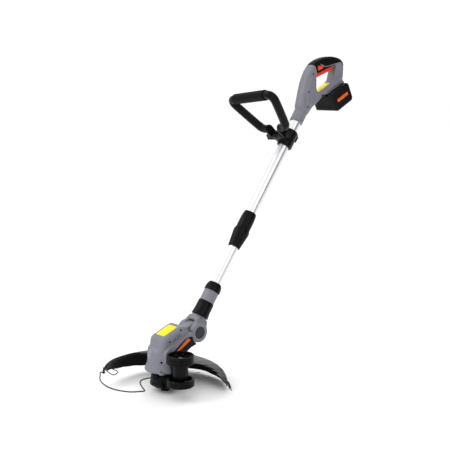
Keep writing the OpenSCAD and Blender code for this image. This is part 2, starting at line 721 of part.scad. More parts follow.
// A forked steel blade on the guard's end, seen along the direction of spin.
blade_outline = [[147.5, 26], [151.5, 26], [155, 20], [158, 12], [159.5, 3], [157.6, 3], [156.6, 8.5],
    [155.4, 8.5], [153.6, 5], [152.2, 11], [150, 19], [147.5, 20]];

module line_cutter() color(bright_metal) rotate([0, 0, guard_start])
    rotate([90, 0, 0]) linear_extrude(1.2) polygon(blade_outline);

// ---- wire guard ----------------------------------------------------------------------------

wire_z = 40;
wire_r = 1.6;
wire_root = [8, -43];
wire_end = [-104, -103];
wire_dir = unit(wire_end - wire_root);
wire_route = [wire_root, wire_root + 3.9 * wire_dir, wire_root + 5.6 * wire_dir, [0.6, -52],
    [0.3, -64.9], [4.9, -75.9], [16, -86], [32, -95.5], [60, -108], [66.5, -113], [62, -122], [50, -139],
    [28, -151], [0, -157], [-31, -154], [-62, -143], [-86, -127], [-101, -115.5], [-109, -111],
    wire_end + 7 * wire_dir, wire_end + 4 * wire_dir, wire_end + wire_dir, wire_end - 2.5 * wire_dir];

// The stiff wire bow in front of the cutter; it folds up about the line between its two ends.
module wire_guard() color(trim_black) wire([for (p = curve(wire_route, 2)) [p[0], p[1], wire_z]], wire_r, 8);

wire_axis_angle = atan2(wire_end[1] - wire_root[1], wire_end[0] - wire_root[0]);

// The bow's two pivots, and the small bent wire inside the guard's left end.
module wire_clips() color(trim_black) {
    difference() {
        translate([wire_root[0], wire_root[1], wire_z - 3.5]) cylinder(r = 3.6, h = flange_z - wire_z + 3.5);
        on_wire_axis(wire_root) translate([0, 0, -10]) cylinder(r = wire_r + fit, h = 20);
    }
    difference() {
        hull() {
            on_wire_axis(wire_end) translate([0, 0, -1]) cylinder(r = 3.4, h = 4, $fn = 32);
            rotate([0, 0, guard_end]) translate([guard_r - guard_wall, 0, 43]) cube([2, 1, 8]);
        }
        on_wire_axis(wire_end) translate([0, 0, -10]) cylinder(r = wire_r + fit, h = 20);
    }
    wire(curve([[-119, -84, 36], [-108, -84, 33], [-97, -84, 32], [-92, -81, 32], [-94, -74, 33],
        [-106, -62, 33], [-131, -62, 34]], 3), 1.2, 6);
}

module on_wire_axis(p) translate([p[0], p[1], wire_z]) rotate([0, 0, wire_axis_angle]) rotate([0, 90, 0])
    children();

// ---- edging wheels -------------------------------------------------------------------------

module wheel_space() translate([wheel_x, wheel_y, 0]) children();

module wheel_bracket() color(trim_black) difference() {
    union() {
        wheel_space() translate([0, 0, hub_z0]) cylinder(r = hub_r, h = hub_z1 - hub_z0);
        rotate([0, 0, atan2(wheel_y, wheel_x)])
            translate([barrel_r - 6, -9, flange_z + 2]) cube([34, 18, 18]);
    }
    translate([0, 0, flange_z - 1]) cylinder(r = flange_r + 0.05, h = 5);
    translate([0, 0, flange_z + 4]) cylinder(r1 = flange_r + 0.05, r2 = barrel_r + 0.05, h = 12);
    translate([0, 0, flange_z + 15.9]) cylinder(r = barrel_r + 0.05, h = 30);
    wheel_space() translate([0, 0, hub_z0 - 1]) cylinder(r = axle_r + fit, h = 60);
}

module wheel_axle() color(bright_metal) wheel_space() {
    translate([0, 0, wheel_z + 3]) cylinder(r = axle_r, h = wheel_top - wheel_z - 12);
    translate([0, 0, hub_z1 + gap + web_at + web]) cylinder(r = 6.5, h = 3, $fn = 6);
}

web_at = 8;
web = 2.5;

// Tread with a rolled edge, a web and a hub that reaches down to the bracket.
module wheel(height) rotate_extrude() {
    polygon([[wheel_r - 5, 0], [wheel_r - 1.5, 0], [wheel_r, 1.5], [wheel_r, height - 1.5],
        [wheel_r - 1.5, height], [wheel_r - 5, height]]);
    translate([axle_r, web_at]) square([wheel_r - 5 - axle_r + 0.1, web]);
    translate([axle_r, 0]) square([6, web_at + 0.1]);
}

module upper_wheel() color(trim_black) wheel_space() translate([0, 0, hub_z1 + gap]) {
    wheel(wheel_top - hub_z1 - gap);
    for (a = [0 : 60 : 300]) rotate([0, 0, a])
        translate([9.5, -1.5, web_at + web - 0.1]) cube([wheel_r - 14.3, 3, 7]);
}

module lower_wheel() color(trim_black) wheel_space()
    translate([0, 0, hub_z0 - gap]) mirror([0, 0, 1]) wheel(hub_z0 - gap - wheel_z);

// ---- assembly ------------------------------------------------------------------------------

handle_shell_left();
handle_shell_right();
soft_grip();
handle_screws();
trigger();
trigger_pin();
trigger_spring();
trigger_switch();
lock_off_button();
control_board();
dock_terminals();
battery_upper_case();
battery_lower_case();
battery_cells();
battery_latch();
upper_tube();
shaft_lead();
handle_clamp();
clamp_bolt();
clamp_knob();
front_handle_frame();
front_handle_grip();
collar_body();
twist_ring();
collet();
lower_tube();
swivel_housing();
locking_cap();
release_sleeve();
sleeve_spring();
neck_left();
neck_right();
neck_screws();
tilt_button();
tilt_pin();
motor_housing_left();
motor_housing_right();
housing_screws();
side_panels();
motor_can();
motor_bearing();
motor_shaft();
cooling_fan();
spool_housing();
spool_drum();
line_winding();
spool_cap();
cutting_line();
bump_knob();
bump_spring();
guard();
guard_screws();
line_cutter();
wire_guard();
wire_clips();
wheel_bracket();
wheel_axle();
upper_wheel();
lower_wheel();
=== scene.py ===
"""Looks for the cordless string trimmer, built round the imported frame.

Tables and sizes are in millimetres, in the same local frames as the CAD source.
Pieces are made in metres.
"""

import json
import math

import bmesh
import bpy
from mathutils import Matrix, Vector


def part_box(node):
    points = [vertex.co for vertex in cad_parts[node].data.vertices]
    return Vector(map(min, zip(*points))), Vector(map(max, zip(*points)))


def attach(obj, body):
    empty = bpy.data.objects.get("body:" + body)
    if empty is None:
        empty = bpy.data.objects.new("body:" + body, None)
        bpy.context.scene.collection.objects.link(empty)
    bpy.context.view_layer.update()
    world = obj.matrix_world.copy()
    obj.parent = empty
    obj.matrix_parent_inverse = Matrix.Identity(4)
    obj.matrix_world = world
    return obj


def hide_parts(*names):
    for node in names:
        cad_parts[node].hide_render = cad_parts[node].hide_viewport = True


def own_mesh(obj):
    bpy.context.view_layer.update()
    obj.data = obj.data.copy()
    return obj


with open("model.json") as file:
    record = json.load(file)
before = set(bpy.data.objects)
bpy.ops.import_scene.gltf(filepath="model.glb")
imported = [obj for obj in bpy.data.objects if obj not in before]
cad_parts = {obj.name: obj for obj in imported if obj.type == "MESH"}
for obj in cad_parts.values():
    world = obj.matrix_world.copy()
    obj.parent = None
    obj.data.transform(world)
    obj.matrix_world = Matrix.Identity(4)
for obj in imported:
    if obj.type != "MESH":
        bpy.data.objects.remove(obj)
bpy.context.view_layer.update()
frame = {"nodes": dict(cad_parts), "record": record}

scene = bpy.context.scene
MM = 0.001

# ---- shader tools ----------------------------------------------------------------------------


def node(tree, kind, **values):
    made = tree.nodes.new(kind)
    for key, value in values.items():
        if key in made.inputs:
            made.inputs[key].default_value = value
        else:
            setattr(made, key, value)
    return made


def ranged(tree, value, source, target):
    """Maps the source range of a value onto the target range."""
    made = node(tree, "ShaderNodeMapRange")
    made.inputs["From Min"].default_value, made.inputs["From Max"].default_value = source
    made.inputs["To Min"].default_value, made.inputs["To Max"].default_value = target
    tree.links.new(value, made.inputs["Value"])
    return made


# ---- camera and light ------------------------------------------------------------------------

camera_data = bpy.data.cameras.new("camera")
camera_data.lens = 72.0
camera_data.sensor_width = 36.0
camera = bpy.data.objects.new("camera", camera_data)
camera.location = (1.6178, -1.2886, 0.7209)
camera.rotation_euler = (math.radians(81.1), 0.0, math.radians(47.5))
scene.collection.objects.link(camera)
scene.camera = camera

scene.view_settings.view_transform = "Standard"


SKY_STRENGTH = 1.12
DARK_SIDE = (0.676, 0.737, 0.0)
DARK_SHARE = 0.10


def studio_world():
    """White all round, fading to grey on one side, so that round metal shows its form."""
    world = bpy.data.worlds.new("studio")
    world.use_nodes = True
    tree = world.node_tree
    background = tree.nodes["Background"]
    background.inputs["Strength"].default_value = SKY_STRENGTH
    place = tree.nodes.new("ShaderNodeTexCoord")
    sideways = node(tree, "ShaderNodeVectorMath", operation="DOT_PRODUCT")
    sideways.inputs[1].default_value = DARK_SIDE
    tree.links.new(place.outputs["Generated"], sideways.inputs[0])
    fade = ranged(tree, sideways.outputs["Value"], (0.55, 0.95), (1.0, DARK_SHARE))
    fade.interpolation_type = "SMOOTHSTEP"
    tree.links.new(fade.outputs["Result"], background.inputs["Color"])
    scene.world = world


studio_world()


def softbox(name, place, aim, size, power):
    """A square-cornered area light at place, turned towards aim."""
    data = bpy.data.lights.new(name, "AREA")
    data.shape = "RECTANGLE"
    data.size, data.size_y = size
    data.energy = power
    light = bpy.data.objects.new(name, data)
    light.location = place
    light.rotation_euler = (Vector(aim) - Vector(place)).to_track_quat("-Z", "Y").to_euler()
    scene.collection.objects.link(light)


softbox("key_light", (-0.9, -1.5, 1.9), (0, 0.2, 0.3), (1.2, 1.2), 15)
softbox("side_light", (2.2, 0.1, 1.3), (0, 0.3, 0.4), (0.9, 1.4), 4)
softbox("rim_light", (-1.2, 1.8, 1.6), (0, 0.3, 0.4), (1.0, 1.0), 8)

# ---- frames ----------------------------------------------------------------------------------

WORLD = Matrix.Identity(4)


def shift(x, y, z):
    """A move in millimetres."""
    return Matrix.Translation((x * MM, y * MM, z * MM))


def turn(degrees, axis):
    return Matrix.Rotation(math.radians(degrees), 4, axis)


# SHAFT, SOCKET and CLAMP have z along the tube, and CLAMP is turned a little about it.
# HANDLE and WHEELS are upright. DOCK has y along the battery's slide. ACROSS and BOLT have z
# across the tool, and FRONT has z from the bolt towards the loop's bar.
LEAN = -36
DOCK_PITCH = 27
ACROSS = turn(90, "Y")
PIVOT = shift(0, 86, 129.5)
SHAFT = PIVOT @ turn(LEAN, "X")
HANDLE = shift(0, 443.37, 621.38)
SOCKET = HANDLE @ turn(LEAN, "X")
DOCK = HANDLE @ shift(0, 99.6, 72.8) @ turn(DOCK_PITCH, "X")
CLAMP = SHAFT @ shift(0, 0, 557) @ turn(-9, "Z")
HINGE = CLAMP @ shift(0, -26, -5)
BOLT = HINGE @ ACROSS
FRONT = HINGE @ turn(78, "X")
WHEELS = shift(75, -14, 0)

# ---- materials -------------------------------------------------------------------------------


MOTTLE_SCALE = 38.0
GRAIN_DEPTH = 0.00012
EDGE_POINTINESS = (0.54, 0.68)
WORN_GAIN = 1.6
WORN_LIFT = 0.05


def surface(name, colour, rough, metal=0.0, grain=1400.0, bump=0.12, mottle=0.10, wear=0.12,
            stretch=(1, 1, 1), coat=0.0, specular=0.5):
    """A finish with a fine grain in its relief and gloss, slow mottling of its colour, and
    paler worn edges."""
    made = bpy.data.materials.new(name)
    made.use_nodes = True
    tree = made.node_tree
    shader = tree.nodes["Principled BSDF"]
    shader.inputs["Metallic"].default_value = metal
    shader.inputs["Coat Weight"].default_value = coat
    shader.inputs["Specular IOR Level"].default_value = specular
    place = tree.nodes.new("ShaderNodeTexCoord")
    mapping = tree.nodes.new("ShaderNodeMapping")
    mapping.vector_type = "TEXTURE"
    mapping.inputs["Rotation"].default_value = (math.radians(LEAN), 0, 0)
    mapping.inputs["Scale"].default_value = stretch
    tree.links.new(place.outputs["Object"], mapping.inputs["Vector"])
    fine = node(tree, "ShaderNodeTexNoise", Scale=grain, Detail=4.0, Roughness=0.6)
    slow = node(tree, "ShaderNodeTexNoise", Scale=MOTTLE_SCALE, Detail=3.0, Roughness=0.5)
    tree.links.new(mapping.outputs["Vector"], fine.inputs["Vector"])
    tree.links.new(place.outputs["Object"], slow.inputs["Vector"])
    blend = node(tree, "ShaderNodeMix", data_type="RGBA")
    low, high = [tuple(c * k for c in colour) + (1.0,) for k in (1 - mottle, 1 + mottle)]
    blend.inputs[6].default_value = low
    blend.inputs[7].default_value = high
    tree.links.new(slow.outputs["Fac"], blend.inputs[0])
    geometry = tree.nodes.new("ShaderNodeNewGeometry")
    edge = ranged(tree, geometry.outputs["Pointiness"], EDGE_POINTINESS, (0.0, wear))
    worn = node(tree, "ShaderNodeMix", data_type="RGBA")
    pale = tuple(min(1.0, c * WORN_GAIN + WORN_LIFT) for c in colour)
    worn.inputs[7].default_value = pale + (1.0,)
    tree.links.new(edge.outputs["Result"], worn.inputs[0])
    tree.links.new(blend.outputs[2], worn.inputs[6])
    tree.links.new(worn.outputs[2], shader.inputs["Base Color"])
    gloss = ranged(tree, fine.outputs["Fac"], (0.3, 0.7), (rough * 0.85, min(1.0, rough * 1.2)))
    tree.links.new(gloss.outputs["Result"], shader.inputs["Roughness"])
    relief = node(tree, "ShaderNodeBump", Strength=bump, Distance=GRAIN_DEPTH)
    tree.links.new(fine.outputs["Fac"], relief.inputs["Height"])
    tree.links.new(relief.outputs["Normal"], shader.inputs["Normal"])
    return made


GREY = surface("moulded_grey", (0.180, 0.180, 0.212), 0.36, grain=2200, bump=0.25, mottle=0.06,
               specular=0.35)
BLACK = surface("moulded_black", (0.0032, 0.0032, 0.0036), 0.27, grain=1800, bump=0.3, mottle=0.2,
                specular=0.10)
RUBBER = surface("soft_rubber", (0.0030, 0.0030, 0.0030), 0.55, grain=2600, bump=0.5, mottle=0.25,
                 specular=0.07)
ORANGE = surface("moulded_orange", (0.74, 0.050, 0.014), 0.38, grain=2200, bump=0.2, mottle=0.08,
                 specular=0.35)
BLUE_GREY = surface("moulded_blue_grey", (0.018, 0.021, 0.032), 0.45, grain=2200, bump=0.3,
                    specular=0.3)
TUBE = surface("brushed_aluminium", (0.78, 0.77, 0.79), 0.30, metal=1.0, grain=900, bump=0.10,
               mottle=0.04, stretch=(1, 1, 40), wear=0.0)
STEEL = surface("bright_steel", (0.42, 0.42, 0.43), 0.30, metal=1.0, grain=1600, bump=0.15)
DARK_STEEL = surface("coated_steel", (0.012, 0.012, 0.013), 0.40, metal=0.3, grain=1500, bump=0.2,
                     specular=0.3)
WHITE = surface("natural_nylon", (0.70, 0.68, 0.62), 0.5, grain=1500, bump=0.15)
LINE = surface("nylon_line", (0.34, 0.36, 0.37), 0.35, grain=2600, bump=0.1, coat=0.2)
LEAD = surface("lead_rubber", (0.009, 0.009, 0.009), 0.5, grain=2000, bump=0.3, specular=0.2)
BOARD = surface("circuit_board", (0.02, 0.15, 0.05), 0.4, grain=1200, bump=0.4, mottle=0.3)
CELL = surface("cell_wrap", (0.03, 0.26, 0.15), 0.35, grain=1200, bump=0.1, coat=0.3)
YELLOW = surface("yellow_label", (0.80, 0.70, 0.004), 0.42, grain=3000, bump=0.08, mottle=0.04,
                 wear=0, specular=0.25)
RED_LABEL = surface("orange_label", (0.66, 0.100, 0.010), 0.4, grain=3000, bump=0.08, mottle=0.1,
                    wear=0, specular=0.25)
# Near-black and matte: the black steel screw heads' own colour, and painted shade on the dark sheets at
# the bottom of the housing's vent slots.
BLACK_SCREW_AND_PAINTED_SHADE = surface("black_screw_and_painted_shade", (0.003, 0.003, 0.003), 0.8, grain=1500, bump=0.2, wear=0,
                 specular=0.1)
FLOOR = surface("pale_floor", (0.97, 0.97, 0.97), 0.9, grain=60, bump=0.02, mottle=0.01, wear=0,
                specular=0.1)

SLOT_LOOKS = {
    "grey_plastic": GREY, "black_plastic": BLACK, "black_rubber": RUBBER, "orange_plastic": ORANGE,
    "blue_grey_plastic": BLUE_GREY, "tube_aluminium": TUBE, "steel": STEEL, "black_steel": DARK_STEEL,
    "white_plastic": WHITE, "line_nylon": LINE, "lead_rubber": LEAD, "board": BOARD, "cell_wrap": CELL,
}

# ---- mesh tools ------------------------------------------------------------------------------

SAME_POINT = 1e-3
WELD_REACH = 1e-4
SEAM = 0.12
BEHIND = -400
AHEAD = 400
BEYOND = 1200


def add_object(name, bm, matrix=WORLD):
    """Turns a bmesh in millimetres into an object in metres."""
    bmesh.ops.recalc_face_normals(bm, faces=bm.faces)
    mesh = bpy.data.meshes.new(name)
    bm.to_mesh(mesh)
    bm.free()
    mesh.transform(matrix @ Matrix.Scale(MM, 4))
    made = bpy.data.objects.new(name, mesh)
    scene.collection.objects.link(made)
    return made


def soften(points, reach, steps=4):
    """Rounds each corner of a closed outline over at most reach."""
    out = []
    for i, p in enumerate(points):
        p, a, b = Vector(p), Vector(points[i - 1]), Vector(points[(i + 1) % len(points)])
        start = p + (a - p) * min(0.5, reach / (a - p).length)
        end = p + (b - p) * min(0.5, reach / (b - p).length)
        for k in range(steps + 1):
            t = k / steps
            out.append(start * (1 - t) ** 2 + p * 2 * t * (1 - t) + end * t * t)
    return [q for i, q in enumerate(out) if (q - out[i - 1]).length > SAME_POINT]


def area(points):
    return sum(a[0] * b[1] - b[0] * a[1] for a, b in zip(points, points[1:] + points[:1])) / 2


def inset(points, d):
    """A closed anticlockwise outline moved inwards by d."""
    out = []
    for i, p in enumerate(points):
        a, b = (p - points[i - 1]).normalized(), (points[(i + 1) % len(points)] - p).normalized()
        na, nb = Vector((-a.y, a.x)), Vector((-b.y, b.x))
        out.append(p + (na + nb) * d / max(0.4, 1 + na.dot(nb)))
    return out


def loop_faces(bm, rings):
    for low, high in zip(rings, rings[1:]):
        for i in range(len(low)):
            bm.faces.new((low[i - 1], low[i], high[i], high[i - 1]))


def plate_mesh(outline, x0, x1, edge, holes=(), steps=4, hole_edge=None):
    """A slab from x0 to x1 whose outline is in the yz plane, with edges rounded to radius edge."""
    bm = bmesh.new()
    caps = [[], []]
    for k, ring in enumerate([outline, *holes]):
        ring = [Vector(p) for p in ring]
        if (area(ring) > 0) != (k == 0):
            ring.reverse()
        r = edge if k == 0 or hole_edge is None else hole_edge
        profile = [(r * (1 - math.sin(t)), r * (1 - math.cos(t)))
                   for t in (math.pi / 2 * s / steps for s in range(steps + 1))]
        stations = [(d, x0 + x) for d, x in profile]
        stations += [(d, x1 - x) for d, x in reversed(profile)]
        rings = [[bm.verts.new((x, q.x, q.y)) for q in inset(ring, d)] for d, x in stations]
        loop_faces(bm, rings)
        caps[0] += [bm.edges.get((rings[0][i - 1], rings[0][i])) for i in range(len(ring))]
        caps[1] += [bm.edges.get((rings[-1][i - 1], rings[-1][i])) for i in range(len(ring))]
    for cap in caps:
        bmesh.ops.triangle_fill(bm, edges=cap, use_beauty=True, use_dissolve=False)
    return bm


def lathe_mesh(profile, sides=96, ripple=None):
    """A closed profile of (radius, z) turned about z; ripple(angle, r, z) may change the radius."""
    bm = bmesh.new()
    rings = []
    for k in range(sides):
        a = 2 * math.pi * k / sides
        shaped = [(ripple(a, r, z) if ripple else r, z) for r, z in profile]
        rings.append([bm.verts.new((r * math.cos(a), r * math.sin(a), z)) for r, z in shaped])
    loop_faces(bm, rings + rings[:1])
    bmesh.ops.remove_doubles(bm, verts=bm.verts, dist=WELD_REACH)
    return bm


def rounded(profile, reach, steps=3):
    return [tuple(p) for p in soften(profile, reach, steps)]


def rod(radius, z0, z1, edge=0.0, sides=64):
    """A cylinder about z, with rounded ends if edge is given."""
    profile = [(radius, z0), (radius, z1)]
    if edge:
        shy = 0.3 * edge
        profile = [(radius - edge, z0), (radius - shy, z0 + shy), (radius, z0 + edge),
                   (radius, z1 - edge), (radius - shy, z1 - shy), (radius - edge, z1)]
    bm = bmesh.new()
    angles = [2 * math.pi * k / sides for k in range(sides)]
    rings = [[bm.verts.new((r * math.cos(a), r * math.sin(a), z)) for a in angles]
             for r, z in profile]
    loop_faces(bm, rings)
    bm.faces.new(rings[0])
    bm.faces.new(rings[-1])
    return bm


def block(low, high):
    bm = bmesh.new()
    bmesh.ops.create_cube(bm, size=1.0)
    centre = [(a + b) / 2 for a, b in zip(low, high)]
    size = [b - a for a, b in zip(low, high)]
    for v in bm.verts:
        v.co = Vector(c + s * x for c, s, x in zip(centre, size, v.co))
    return bm


def rounded_block(low, high, edge, steps=3):
    bm = block(low, high)
    bmesh.ops.bevel(bm, geom=bm.edges[:], offset=edge, segments=steps, affect="EDGES", profile=0.5)
    return bm


def smooth_path(points, steps):
    """A curve through given points."""
    p = [Vector(q) for q in points]
    out = []
    for i in range(len(p) - 1):
        a, b, c, d = p[max(i - 1, 0)], p[i], p[i + 1], p[min(i + 2, len(p) - 1)]
        for k in range(steps):
            t = k / steps
            out.append(0.5 * (2 * b + (c - a) * t + (2 * a - 5 * b + 4 * c - d) * t * t
                              + (3 * b - a - 3 * c + d) * t ** 3))
    return out + [p[-1]]


def sweep_mesh(path, section, side=Vector((0, 1, 0))):
    """A closed tube along path; section(i, share) gives its outline points as (u, v)."""
    bm = bmesh.new()
    rings = []
    last = len(path) - 1
    for i, p in enumerate(path):
        t = (path[min(i + 1, last)] - path[max(i - 1, 0)]).normalized()
        s = t.cross(side).normalized()
        u = s.cross(t)
        rings.append([bm.verts.new(p + s * a + u * b) for a, b in section(i, i / last)])
    loop_faces(bm, rings)
    bm.faces.new(rings[0])
    bm.faces.new(rings[-1])
    return bm


def circle(radius, sides, flats=0.0, count=8):
    """A round section; flats sinks it in count places by that share of its radius."""
    out = []
    for k in range(sides):
        a = 2 * math.pi * k / sides
        r = radius * (1 - flats * (1 + math.cos(count * a)) / 2)
        out.append((r * math.cos(a), r * math.sin(a)))
    return out


def settle(made):
    """Applies an object's modifiers."""
    bpy.context.view_layer.update()
    graph = bpy.context.evaluated_depsgraph_get()
    mesh = bpy.data.meshes.new_from_object(made.evaluated_get(graph))
    made.modifiers.clear()
    made.data = mesh
    return made


def join(name, parts):
    """Puts several closed forms into one piece."""
    bm = bmesh.new()
    for part in parts:
        bm.from_mesh(part.data)
        bpy.data.objects.remove(part)
    mesh = bpy.data.meshes.new(name)
    bm.to_mesh(mesh)
    bm.free()
    made = bpy.data.objects.new(name, mesh)
    scene.collection.objects.link(made)
    return made


def fuse(name, parts, voxel, rounds):
    """Melts closed parts into one moulded form with soft inner corners."""
    made = join(name, parts)
    remesh = made.modifiers.new("melt", "REMESH")
    remesh.mode = "VOXEL"
    remesh.voxel_size = voxel * MM
    remesh.adaptivity = 0.0
    smooth = made.modifiers.new("soften", "SMOOTH")
    smooth.factor = 0.5
    smooth.iterations = rounds
    return settle(made)


def cut(made, tool, how="DIFFERENCE"):
    """Cuts a tool out of a form; how="UNION" adds it, and "INTERSECT" keeps what both share."""
    cutter = made.modifiers.new("cut", "BOOLEAN")
    cutter.operation = how
    cutter.solver = "MANIFOLD"
    cutter.object = tool
    settle(made)
    bpy.data.objects.remove(tool)


def twin(made, name):
    other = bpy.data.objects.new(name, made.data.copy())
    scene.collection.objects.link(other)
    return other


def halve(made, left, right):
    """Splits a form at the x = 0 plane into a left and a right piece with a fine seam."""
    other = twin(made, left)
    made.name = right
    right_half = block((SEAM, BEHIND, BEHIND), (AHEAD, BEYOND, BEYOND))
    left_half = block((BEHIND, BEHIND, BEHIND), (-SEAM, BEYOND, BEYOND))
    cut(made, add_object("slice", right_half), how="INTERSECT")
    cut(other, add_object("slice", left_half), how="INTERSECT")
    return other, made


def finish_piece(made, look, body, slot, *stands_for, crease=35):
    """Gives a form its finish, its body and the CAD nodes it stands for, which it hides; the record slot
    is not used.
    """
    made.data.materials.clear()
    made.data.materials.append(look)
    for face in made.data.polygons:
        face.use_smooth = True
        face.material_index = 0
    made.data.set_sharp_from_angle(angle=math.radians(crease))
    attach(made, body)
    if stands_for:
        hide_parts(*stands_for)


# ---- rear handle -----------------------------------------------------------------------------

# Outlines and screw places are (y, z) in the handle's frame.
HANDLE_OUTLINE = [(5, 37), (33.6, 16.4), (46, 32), (58, 42), (72, 49), (90, 64), (99.6, 72.8),
                  (167.3, 107.3), (172, 112), (175, 122), (176, 140), (175.5, 150), (172.5, 159),
                  (164, 166), (150, 170.5), (133, 172.6), (112, 172), (92, 168.6), (70, 160.5),
                  (51.5, 149.5), (37.5, 133), (24.5, 108), (15.5, 80), (10.5, 57)]
WINDOW = [(65.5, 87), (68.5, 80.5), (76, 79), (128, 105.5), (133.5, 111), (141, 138), (141, 150),
          (138, 153.5), (68, 129.6), (65.5, 127)]
COLUMN = [(22, 40), (34, 34), (56, 58), (58, 112), (46, 126), (34, 112), (22, 76)]
TRIGGER_SLOT = [(62, 125), (67, 125), (141, 149.5), (141.5, 159), (62, 139)]
TRIGGER = [(70, 116.6), (74, 116), (137, 138), (140.3, 143), (139, 151.2), (134, 151.5), (67, 128.6),
           (66.8, 125)]
GRIP_SIDE = [(51.5, 149.5), (56, 147), (59.5, 144), (62, 137), (65, 128), (72, 129.2), (138, 152.4),
             (150, 157.5), (161, 157), (166.5, 153), (169.5, 149), (175.5, 150), (172.5, 159),
             (164, 166), (150, 170.5), (133, 172.6), (112, 172), (92, 168.6), (70, 160.5)]
LOCK = [(67, 134), (87, 140.6), (87, 148), (67, 147)]
GRIP_RIM = [(76, 151.2), (87.7, 148.4), (95.3, 145.3), (110.6, 147.2), (126, 150.7), (157, 157.0)]
HANDLE_SCREWS = [(52, 125), (31, 79), (88, 70), (29, 41)]
BRIDGE = HANDLE @ shift(0, 101, 91.1) @ turn(DOCK_PITCH, "X")
HANDLE_SKIN = 13.2
WELL_RADIUS = 2.7
SCREW_RADIUS = 2.3
TUBE_BORE = 14.05
WIDE = 30


def outset(points, d):
    return inset([Vector(p) for p in points], -d)


def trigger_slot():
    return add_object("slot", plate_mesh(outset(TRIGGER_SLOT, 0), -7.2, 7.2, 0), HANDLE)


def lock_pocket():
    return add_object("pocket", plate_mesh(outset(LOCK, 0.5), 8, 24, 0), HANDLE)


def build_rear_handle():
    outline, window = soften(HANDLE_OUTLINE, 9), soften(WINDOW, 5)
    parts = [
        add_object("ring", plate_mesh(outline, -15, 15, 8.5, [window], hole_edge=4.0), HANDLE),
        add_object("column", plate_mesh(soften(COLUMN, 8), -18, 18, 7), HANDLE),
        add_object("socket", rod(17.5, 0.6, 36, 1.2), SOCKET),
        add_object("boss", rod(18.3, 33, 52, 3), SOCKET),
        add_object("dock", rounded_block((-20, -4, -0.2), (20, 76, 11.3), 3.5), DOCK),
    ]
    body = fuse("rear_handle", parts, 1.1, 4)
    for x in (17, -20):
        cut(body, add_object("rail", rounded_block((x, 4, -7), (x + 3, 76, 1), 0.4), DOCK), how="UNION")
    cut(body, trigger_slot())
    cut(body, add_object("bore", rod(TUBE_BORE, -2, 45), SOCKET))
    groove = [(16.9, 32.2), (22, 32.2), (22, 33.3), (16.9, 33.3)]
    cut(body, add_object("groove", lathe_mesh(groove), SOCKET))
    cut(body, add_object("grip_seat", plate_mesh(outset(GRIP_SIDE, 0.1), -WIDE, WIDE, 0), HANDLE))
    cut(body, add_object("label_seat", block((-11.6, -24, 0), (11.6, 24, 3)), BRIDGE))
    cut(body, lock_pocket())
    for y, z in HANDLE_SCREWS:
        well = HANDLE @ shift(HANDLE_SKIN, y, z) @ ACROSS
        cut(body, add_object("recess", rod(WELL_RADIUS, 0, 14), well))
    socket_screw = SOCKET @ shift(0, 0, 10) @ turn(12, "Z") @ ACROSS
    cut(body, add_object("recess", rod(SCREW_RADIUS, 15.4, 22), socket_screw))
    left, right = halve(body, "handle_shell_left_form", "handle_shell_right_form")
    finish_piece(left, GREY, "handle", "grey_plastic", "handle_shell_left")
    finish_piece(right, GREY, "handle", "grey_plastic", "handle_shell_right")
    heads = [add_object("head", screw_head(), HANDLE @ shift(HANDLE_SKIN + 0.1, y, z) @ ACROSS)
             for y, z in HANDLE_SCREWS]
    heads.append(add_object("head", screw_head(), socket_screw @ shift(0, 0, 15.5)))
    finish_piece(join("handle_screw_heads", heads), BLACK_SCREW_AND_PAINTED_SHADE, "handle", "black_steel", "handle_screws")


def screw_head():
    """A recessed screw head with a cross slot."""
    bm = rod(SCREW_RADIUS, 0, 0.7, 0.2, 24)
    for half_x, half_y in ((1.5, 0.3), (0.3, 1.5)):
        mesh = bpy.data.meshes.new("cross")
        cross = block((-half_x, -half_y, 0.6), (half_x, half_y, 0.9))
        cross.to_mesh(mesh)
        cross.free()
        bm.from_mesh(mesh)
        bpy.data.meshes.remove(mesh)
    return bm


LAID_FLAT = Matrix(((0, 1, 0, 0), (0, 0, 1, 0), (1, 0, 0, 0), (0, 0, 0, 1)))


def patch(name, look, body, slot, matrix, width, length, thick=0.45, corner=3.0):
    """A thin label with rounded corners, lying on the local xy plane."""
    u, v = width / 2, length / 2
    outline = soften([(-u, -v), (u, -v), (u, v), (-u, v)], corner)
    flat = plate_mesh(outline, -thick, thick, 0.15, steps=2)
    finish_piece(add_object(name, flat, matrix @ LAID_FLAT), look, body, slot)


def build_grip():
    form = plate_mesh(soften(HANDLE_OUTLINE, 9), -15.6, 15.6, 8.8)
    grip = add_object("soft_grip_form", form, HANDLE)
    side = plate_mesh(outset(GRIP_SIDE, 0), -WIDE, WIDE, 0)
    cut(grip, add_object("side", side, HANDLE), how="INTERSECT")
    cut(grip, trigger_slot())
    cut(grip, lock_pocket())
    finish_piece(grip, RUBBER, "handle", "black_rubber", "soft_grip")
    rims = []
    for x in (15.4, -15.4):
        path = smooth_path([(x, y, z) for y, z in GRIP_RIM], 6)
        strip = sweep_mesh(path, lambda i, share: circle(1.1, 12), Vector((1, 0, 0)))
        rims.append(add_object("rim", strip, HANDLE))
    finish_piece(join("grip_rim_strips", rims), GREY, "handle", "grey_plastic")


def build_trigger():
    blade = plate_mesh(soften(TRIGGER, 3.5), -6.3, 6.3, 2.2)
    trigger = add_object("trigger_form", blade, HANDLE)
    finish_piece(trigger, ORANGE, "trigger_lever", "orange_plastic", "trigger")
    button = plate_mesh(soften(LOCK, 2.5), 11.2, 17.6, 1.3)
    lock = add_object("lock_off_button_form", button, HANDLE)
    finish_piece(lock, ORANGE, "lock_button", "orange_plastic", "lock_off_button")


CASE_SPLIT = -25
CASE_GAP = 0.2
CHEEK = [(8, -46), (61, -46), (67, -40), (67, -13), (61, -7), (8, -7)]


